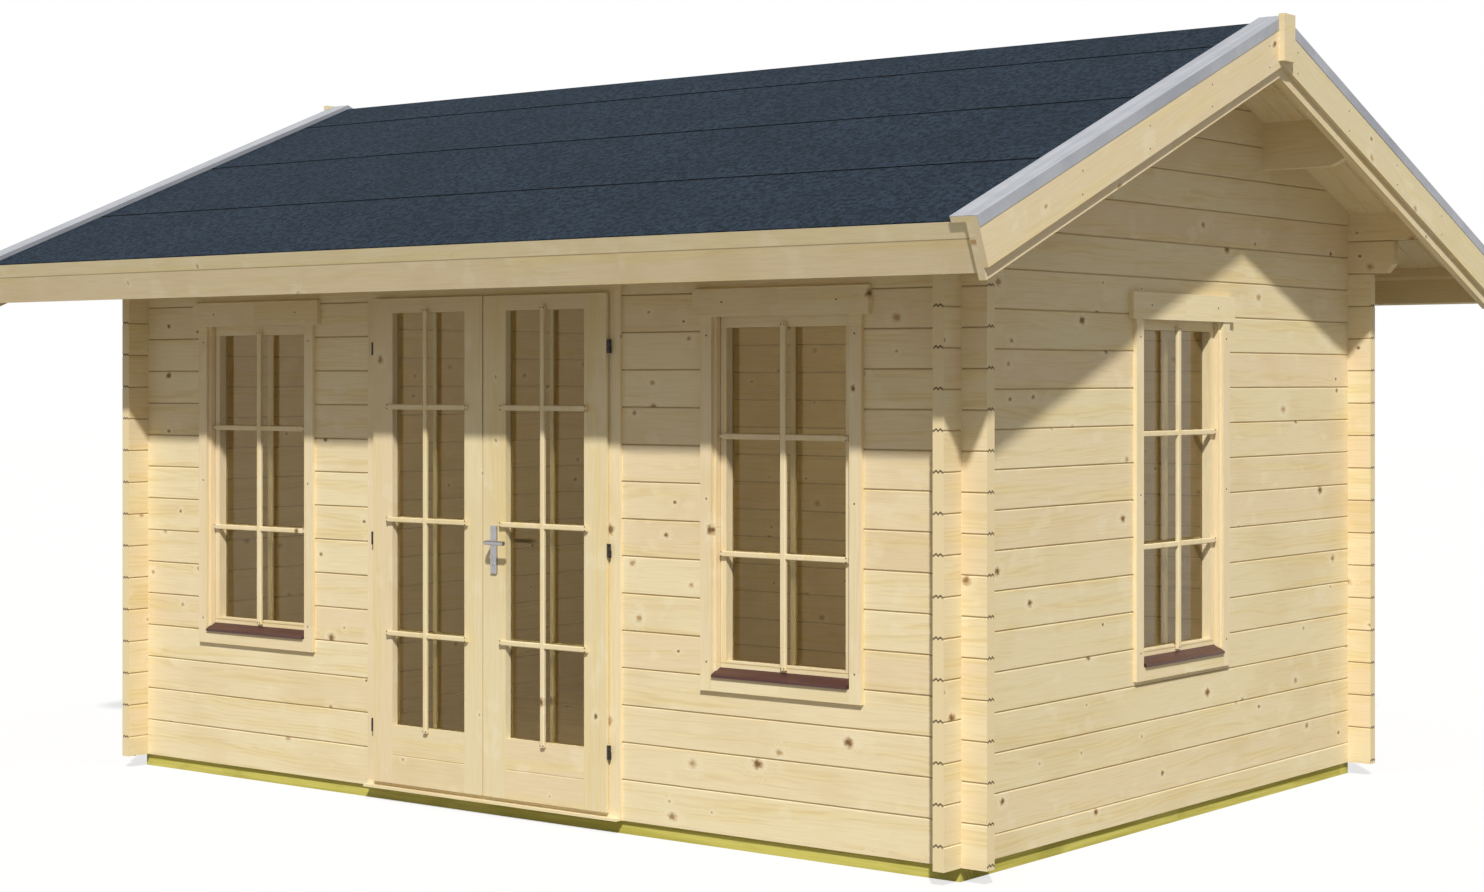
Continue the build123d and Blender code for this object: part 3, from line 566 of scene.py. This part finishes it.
def pane():
    """Clear glass, with the faintest waves in it. It lets little outside light in, so that the
    bars behind it stay dim."""
    g = Graph("clear_pane")
    haze = g.noise(g.point, 5.0, 3.0)
    ripple = g.noise(g.point, 2.2, 1.0)
    path = g.tree.nodes.new("ShaderNodeLightPath")
    colour = g.blend(g.fade(haze, 0.35, 0.7), linear(247, 238, 208), linear(251, 243, 216))
    colour = g.blend(path.outputs["Is Diffuse Ray"], colour, linear(130, 128, 120))
    g.bump(ripple, 0.03, 0.002)
    g.finish(colour, 0.0, 0.12)
    g.shader.inputs["Specular Tint"].default_value = (1.0, 0.82, 0.50, 1)
    g.shader.inputs["Transmission Weight"].default_value = 1.0
    g.shader.inputs["IOR"].default_value = 1.45
    return g.material


LONG_ENDS = log_ends(0, lambda g: from_outside(g, g.y, HALF_DEPTH), LONG_JOINT, 0.55)
GABLE_ENDS = log_ends(1, lambda g: from_outside(g, g.x, HALF_LENGTH), GABLE_JOINT, 0.40)
GABLE_LIGHT = linear(233, 218, 179)
VERGE_LIGHT = linear(224, 211, 173)
JOINERY_LIGHT = linear(232, 217, 177)

MATERIALS = {
    "wall_wood": wood("long_wall_logs", long_logs, extra=LONG_ENDS),
    "gable_wood": wood("gable_wall_logs", gable_logs, light=GABLE_LIGHT, extra=GABLE_ENDS),
    "joinery_wood": wood("joinery", leaf_boards, 0.24, JOINERY_LIGHT, contrast=0.14),
    "trim_wood": wood("window_trim", window_boards, 0.24, contrast=0.14),
    "fascia_wood": wood("fascia_boards", fascia_boards, 0.34, JOINERY_LIGHT, contrast=0.14,
                        extra=fascia_seam),
    "verge_wood": wood("verge_boards", on_verge, 0.34, VERGE_LIGHT, contrast=0.14),
    "roof_wood": wood("roof_planking", roof_planks, 0.20),
    "beam_wood": wood("roof_beams", roof_beams, 0.18),
    "floor_wood": wood("floor_planking", floor_planks, 0.18),
    "treated_wood": treated_timber(),
    "roof_felt": felt(),
    "flashing": bent_sheet(),
    "sill": dark_sill(),
    "glass": pane(),
    "hinge_metal": dark_metal("dark_zinc", linear(34, 32, 32), linear(66, 62, 60), 0.45),
    "handle_metal": satin_steel(),
}
SASH_WOOD = wood("sash_joinery", window_boards, 0.18, contrast=0.14)
DOOR_TRIM = wood("door_trim", door_boards, 0.24, contrast=0.14)
NAIL_METAL = dark_metal("nail_heads", linear(92, 74, 52), linear(120, 100, 74), 0.5)

NODE_MATERIALS = {"window_sashes": SASH_WOOD, "door_frame": DOOR_TRIM, "door_threshold": DOOR_TRIM}
node_slots = {part["node"]: part["material_slot"] for part in frame["record"]["subparts"]}
for name, node in frame["nodes"].items():
    material = NODE_MATERIALS.get(name, MATERIALS[node_slots[name]])
    if not node.material_slots:
        node.data.materials.append(material)
    for slot in node.material_slots:
        slot.material = material


# Glazing bars: uprights run through, and cross bars butt against them
def lattice(name, body, to_house, upright, width, bars_z, across, height, overlap, material):
    """One face of glazing bars. to_house turns places across, out and up into the frame."""
    verts, faces = [], []
    half = width / 2
    bottom, top = height
    left, right = across
    out = (0.0, BAR_THICKNESS)
    add_bar(verts, faces, (upright - half, upright + half), out, (bottom, top), 2)
    for z in bars_z:
        reach = (z - CROSS_BAR / 2, z + CROSS_BAR / 2)
        add_bar(verts, faces, (left - overlap, upright - half), out, reach, 0)
        add_bar(verts, faces, (upright + half, right + overlap), out, reach, 0)
    return new_piece(name, [to_house(v) for v in verts], faces, material, body)


def bar_pins(name, body, to_house, upright, bars_z, across, height, overlap):
    """The small dark pins that hold the ends of the bars."""
    verts, faces = [], []
    from_end = 0.006
    apart = 0.007
    radius, rise = 0.0028, 0.0012
    spots = []
    for z in bars_z:
        for x in (across[0] - overlap + from_end, across[1] + overlap - from_end):
            spots += [(x, z - apart), (x, z + apart)]
    for z in (height[0] + from_end, height[1] - from_end):
        spots += [(upright - apart, z), (upright + apart, z)]
    for x, z in spots:
        add_head(verts, faces, (x, BAR_THICKNESS, z), (0, 1, 0), radius, rise, 8)
    return new_piece(name, [to_house(v) for v in verts], faces, NAIL_METAL, body)


def on_front(face, turned=False):
    """Out from a face that looks to the front, or back from it when turned."""
    sign = 1 if turned else -1
    return lambda v: Vector((v[0], face + sign * v[1], v[2]))


def on_gable(face, turned=False):
    sign = -1 if turned else 1
    return lambda v: Vector((face + sign * v[1], v[0], v[2]))


SASH_FRONT = HALF_DEPTH - SASH_RECESS
SASH_BACK = SASH_FRONT - SASH_DEPTH
GABLE_SASH_FRONT = HALF_LENGTH - SASH_RECESS
GABLE_SASH_BACK = GABLE_SASH_FRONT - SASH_DEPTH
WINDOW_OVERLAP = 0.018
DOOR_OVERLAP = 0.022
RAIL_OVERLAP = 0.014

for place_name, middle, outer, inner in (
        ("left", -WINDOW_X, on_front(-SASH_FRONT), on_front(-SASH_BACK, True)),
        ("right", WINDOW_X, on_front(-SASH_FRONT), on_front(-SASH_BACK, True)),
        ("gable", 0.0, on_gable(GABLE_SASH_FRONT), on_gable(GABLE_SASH_BACK, True))):
    span = (middle - DAYLIGHT_HALF, middle + DAYLIGHT_HALF)
    height = (DAYLIGHT_Z[0] - RAIL_OVERLAP, DAYLIGHT_Z[1] + RAIL_OVERLAP)
    for side, to_house in (("outer", outer), ("inner", inner)):
        lattice(f"window_bars_{place_name}_{side}", "house", to_house, middle, WINDOW_UPRIGHT,
                WINDOW_BARS_Z, span, height, WINDOW_OVERLAP, SASH_WOOD)
        bar_pins(f"window_bar_pins_{place_name}_{side}", "house", to_house, middle, WINDOW_BARS_Z,
                 span, height, WINDOW_OVERLAP)

for place_name, body, middle, span in (("left", "left_leaf", LEFT_BAR_X, LEFT_DAYLIGHT),
                                       ("right", "right_leaf", RIGHT_BAR_X, RIGHT_DAYLIGHT)):
    height = (DOOR_DAYLIGHT_Z[0] - RAIL_OVERLAP, DOOR_DAYLIGHT_Z[1] + RAIL_OVERLAP)
    for side, to_house in (("outer", on_front(LEAF_FACE)), ("inner", on_front(LEAF_BACK, True))):
        lattice(f"door_bars_{place_name}_{side}", body, to_house, middle, DOOR_UPRIGHT,
                DOOR_BARS_Z, span, height, DOOR_OVERLAP, MATERIALS["joinery_wood"])
        bar_pins(f"door_bar_pins_{place_name}_{side}", body, to_house, middle, DOOR_BARS_Z, span,
                 height, DOOR_OVERLAP)


# Roof and floor planks stand for the plain slabs
def slab_corners(node):
    """Corners of a slab's section across X: ridge top, ridge under, eave under, eave top."""
    points = {(round(v.co.y, 5), round(v.co.z, 5)) for v in node.data.vertices}
    by_reach = sorted(points, key=lambda p: abs(p[0]))
    ridge = sorted(by_reach[:2], key=lambda p: -p[1])
    eave = sorted(by_reach[-2:], key=lambda p: -p[1])
    return ridge + eave[::-1]


def roof_of_planks(name, node_name):
    """Planks from the ridge to the eave, with eased lower edges, in place of a plain slope."""
    node = frame["nodes"][node_name]
    ridge_top, ridge_under, eave_under, eave_top = [Vector((0, *p)) for p in slab_corners(node)]
    low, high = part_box(node_name)
    count = round((high[0] - low[0]) / ROOF_PLANK)
    pitch = (high[0] - low[0]) / count
    gap = 0.0006
    ease = 0.0035
    rise = 0.15
    verts, faces = [], []
    for k in range(count):
        x0 = low[0] + k * pitch + gap
        x1 = low[0] + (k + 1) * pitch - gap
        section = ((x0, 0.0), (x1, 0.0), (x1, 1 - rise), (x1 - ease, 1.0), (x0 + ease, 1.0),
                   (x0, 1 - rise))
        base = len(verts)
        corners = len(section)
        for top, under in ((ridge_top, ridge_under), (eave_top, eave_under)):
            for x, part in section:
                point = top.lerp(under, part)
                verts.append(Vector((x, point.y, point.z)))
        faces.append([base + i for i in range(corners)])
        faces.append([base + corners + i for i in reversed(range(corners))])
        for i in range(corners):
            after = (i + 1) % corners
            faces.append([base + i, base + corners + i, base + corners + after, base + after])
    piece = new_piece(name, verts, faces, MATERIALS["roof_wood"], "house")
    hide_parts(node_name)
    return piece


roof_of_planks("roof_planks_front", "roof_boards_front")
roof_of_planks("roof_planks_back", "roof_boards_back")


def floor_of_planks():
    """Planks along the house, with eased upper edges, in place of the plain floor."""
    low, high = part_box("floor_boards")
    count = round((high[1] - low[1]) / FLOOR_PLANK)
    pitch = (high[1] - low[1]) / count
    gap = 0.0006
    ease = 0.002
    verts, faces = [], []
    for k in range(count):
        y0 = low[1] + k * pitch + gap
        y1 = low[1] + (k + 1) * pitch - gap
        section = [(y0, low[2]), (y1, low[2]), (y1, high[2] - ease), (y1 - ease, high[2]),
                   (y0 + ease, high[2]), (y0, high[2] - ease)]
        add_prism(verts, faces, 0, low[0], high[0], section)
    piece = new_piece("floor_planks", verts, faces, MATERIALS["floor_wood"], "house")
    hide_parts("floor_boards")
    return piece


floor_of_planks()


# Nail heads on casings and verge boards, and screws on the handle plate
def nails(name, spots, radius=0.0035):
    """Small round heads on the house, each at a place and facing one way."""
    verts, faces = [], []
    for centre, normal in spots:
        add_head(verts, faces, centre, normal, radius, 0.0012, 8)
    return new_piece(name, verts, faces, NAIL_METAL, "house")


CASING_FACE = HALF_DEPTH + 0.015
GABLE_CASING_FACE = HALF_LENGTH + 0.015
CASING_NAIL = 0.322
CASING_NAIL_Z = (0.65, 1.22, 1.79)
HEAD_PROUD = 0.005
HEAD_NAIL = 0.25
HEAD_NAIL_Z = 1.905
FORWARD, SIDEWAYS = (0, -1, 0), (1, 0, 0)
spots = []
for middle in (-WINDOW_X, WINDOW_X):
    for side in (-1, 1):
        x = middle + side * CASING_NAIL
        spots += [((x, -CASING_FACE, z), FORWARD) for z in CASING_NAIL_Z]
        x = middle + side * HEAD_NAIL
        spots.append(((x, -CASING_FACE - HEAD_PROUD, HEAD_NAIL_Z), FORWARD))
for side in (-1, 1):
    spots += [((GABLE_CASING_FACE, side * CASING_NAIL, z), SIDEWAYS) for z in CASING_NAIL_Z]
    spots.append(((GABLE_CASING_FACE + HEAD_PROUD, side * HEAD_NAIL, HEAD_NAIL_Z), SIDEWAYS))
nails("casing_nails", spots)

BARGE_FACE = 2.520
VERGE_NAIL_START = 0.12
VERGE_NAIL_STEP = 0.46
VERGE_NAIL_DEPTHS = (0.055, 0.125)
VERGE_NAILS = 4
spots = []
for end in (-1, 1):
    for side in (-1, 1):
        for k in range(VERGE_NAILS):
            run = VERGE_NAIL_START + k * VERGE_NAIL_STEP
            for down in VERGE_NAIL_DEPTHS:
                y = run * math.cos(SLOPE)
                z = FELT_TOP - run * math.sin(SLOPE) - down / math.cos(SLOPE)
                spots.append(((end * BARGE_FACE, side * y, z), (end, 0, 0)))
nails("verge_nails", spots, radius=0.003)

# Lock cylinder and screws on the outer handle plate
PLATE_X = 0.0195
PLATE_FACE = -1.488
LOCK_Z = 0.946
LOCK_RADIUS = 0.0082
LOCK_TAIL = 0.0045
KEY_SLOT = 0.0008
PLATE_SCREW_RADIUS = 0.0036
PLATE_SCREWS_Z = (1.078, 0.923)
verts, faces = [], []
add_head(verts, faces, (PLATE_X, PLATE_FACE, LOCK_Z), FORWARD, LOCK_RADIUS, 0.0016, 16)
add_bar(verts, faces, (PLATE_X - LOCK_TAIL, PLATE_X + LOCK_TAIL),
        (PLATE_FACE - 0.0014, PLATE_FACE + 0.001), (LOCK_Z - 0.020, LOCK_Z - 0.007), 2, 0.0006)
for z in PLATE_SCREWS_Z:
    add_head(verts, faces, (PLATE_X, PLATE_FACE, z), FORWARD, PLATE_SCREW_RADIUS, 0.0014, 12)
new_piece("lock_cylinder", verts, faces, MATERIALS["handle_metal"], "right_leaf")
verts, faces = [], []
add_bar(verts, faces, (PLATE_X - KEY_SLOT, PLATE_X + KEY_SLOT),
        (PLATE_FACE - 0.0021, PLATE_FACE - 0.001), (LOCK_Z - 0.005, LOCK_Z + 0.004), 2, 0.0002)
new_piece("key_slot", verts, faces, MATERIALS["hinge_metal"], "right_leaf")


# Floor, light and camera
def seen_plainly(nodes, links):
    """1 for rays that the camera sends out, straight or by way of a mirror or a pane."""
    path = nodes.new("ShaderNodeLightPath")
    seen = nodes.new("ShaderNodeMath")
    mirrored = nodes.new("ShaderNodeMath")
    seen.operation = mirrored.operation = "MAXIMUM"
    links.new(path.outputs["Is Camera Ray"], seen.inputs[0])
    links.new(path.outputs["Is Glossy Ray"], mirrored.inputs[0])
    links.new(path.outputs["Is Transmission Ray"], mirrored.inputs[1])
    links.new(mirrored.outputs[0], seen.inputs[1])
    return seen.outputs[0]


def stage_material():
    """Pale floor: nearly white to the camera, and darker for the light that it throws back."""
    material = bpy.data.materials.new("stage_floor")
    material.use_nodes = True
    nodes, links = material.node_tree.nodes, material.node_tree.links
    nodes.clear()
    dull = nodes.new("ShaderNodeBsdfDiffuse")
    dull.inputs["Color"].default_value = (0.30, 0.29, 0.27, 1)
    pale = nodes.new("ShaderNodeBsdfDiffuse")
    pale.inputs["Color"].default_value = (0.9, 0.9, 0.9, 1)
    glow = nodes.new("ShaderNodeEmission")
    glow.inputs["Color"].default_value = (1, 1, 1, 1)
    soft = nodes.new("ShaderNodeMixShader")
    soft.inputs[0].default_value = 0.72
    links.new(pale.outputs[0], soft.inputs[1])
    links.new(glow.outputs[0], soft.inputs[2])
    mix = nodes.new("ShaderNodeMixShader")
    links.new(seen_plainly(nodes, links), mix.inputs[0])
    links.new(dull.outputs[0], mix.inputs[1])
    links.new(soft.outputs[0], mix.inputs[2])
    out = nodes.new("ShaderNodeOutputMaterial")
    links.new(mix.outputs[0], out.inputs[0])
    return material


def stage_floor():
    reach = 60.0
    drop = 0.0005
    mesh = bpy.data.meshes.new("stage_floor")
    mesh.from_pydata([(-reach, -reach, -drop), (reach, -reach, -drop), (reach, reach, -drop),
                      (-reach, reach, -drop)], [], [[0, 1, 2, 3]])
    mesh.materials.append(stage_material())
    floor = bpy.data.objects.new("stage_floor", mesh)
    bpy.context.scene.collection.objects.link(floor)


def world_light():
    """Even sky light, and plain white where the camera or a mirror looks at it."""
    world = bpy.data.worlds.new("studio")
    bpy.context.scene.world = world
    world.use_nodes = True
    nodes, links = world.node_tree.nodes, world.node_tree.links
    nodes.clear()
    sky = nodes.new("ShaderNodeBackground")
    sky.inputs["Color"].default_value = (0.98, 0.98, 1.0, 1)
    sky.inputs["Strength"].default_value = 0.34
    white = nodes.new("ShaderNodeBackground")
    white.inputs["Color"].default_value = (1, 1, 1, 1)
    white.inputs["Strength"].default_value = 1.0
    mix = nodes.new("ShaderNodeMixShader")
    links.new(seen_plainly(nodes, links), mix.inputs[0])
    links.new(sky.outputs[0], mix.inputs[1])
    links.new(white.outputs[0], mix.inputs[2])
    out = nodes.new("ShaderNodeOutputWorld")
    links.new(mix.outputs[0], out.inputs[0])


SUN_TRAVEL = Vector((-1.0, 1.215, -1.532))


def sun_light():
    """One soft sun from the front right, as the shadows of the eave and the verge show."""
    light = bpy.data.lights.new("sun", "SUN")
    light.energy = 3.6
    light.color = (1.0, 0.985, 0.95)
    light.angle = math.radians(2.0)
    sun = bpy.data.objects.new("sun", light)
    sun.rotation_euler = SUN_TRAVEL.to_track_quat("-Z", "Y").to_euler()
    bpy.context.scene.collection.objects.link(sun)


def room_light():
    """A weak warm light in the closed room, so that its walls show through the panes."""
    light = bpy.data.lights.new("room", "POINT")
    light.energy = 6.0
    light.color = (1.0, 0.90, 0.72)
    light.shadow_soft_size = 0.4
    lamp = bpy.data.objects.new("room", light)
    lamp.location = (0.0, 0.1, 1.35)
    lamp.visible_camera = False
    lamp.visible_glossy = False
    lamp.visible_transmission = False
    bpy.context.scene.collection.objects.link(lamp)


# The camera of the photograph: its lens in pixels of the photograph's width
IMAGE_WIDTH = 1484
FOCAL_PIXELS = 2523.73
CAMERA_PLACE = (6.6985, -8.2400, 1.6338)
CAMERA_TURN = math.radians(37.1306)
CAMERA_SHIFT = (-0.0580, -0.0444)
SENSOR = 36.0


def camera():
    lens = bpy.data.cameras.new("camera")
    lens.sensor_fit = "HORIZONTAL"
    lens.sensor_width = SENSOR
    lens.lens = FOCAL_PIXELS * SENSOR / IMAGE_WIDTH
    lens.shift_x, lens.shift_y = CAMERA_SHIFT
    lens.clip_start = 0.1
    lens.clip_end = 200.0
    eye = bpy.data.objects.new("camera", lens)
    eye.location = CAMERA_PLACE
    eye.rotation_euler = (math.radians(90.0), 0.0, CAMERA_TURN)
    bpy.context.scene.collection.objects.link(eye)
    bpy.context.scene.camera = eye


stage_floor()
world_light()
sun_light()
room_light()
camera()
bpy.context.scene.view_settings.view_transform = "Standard"
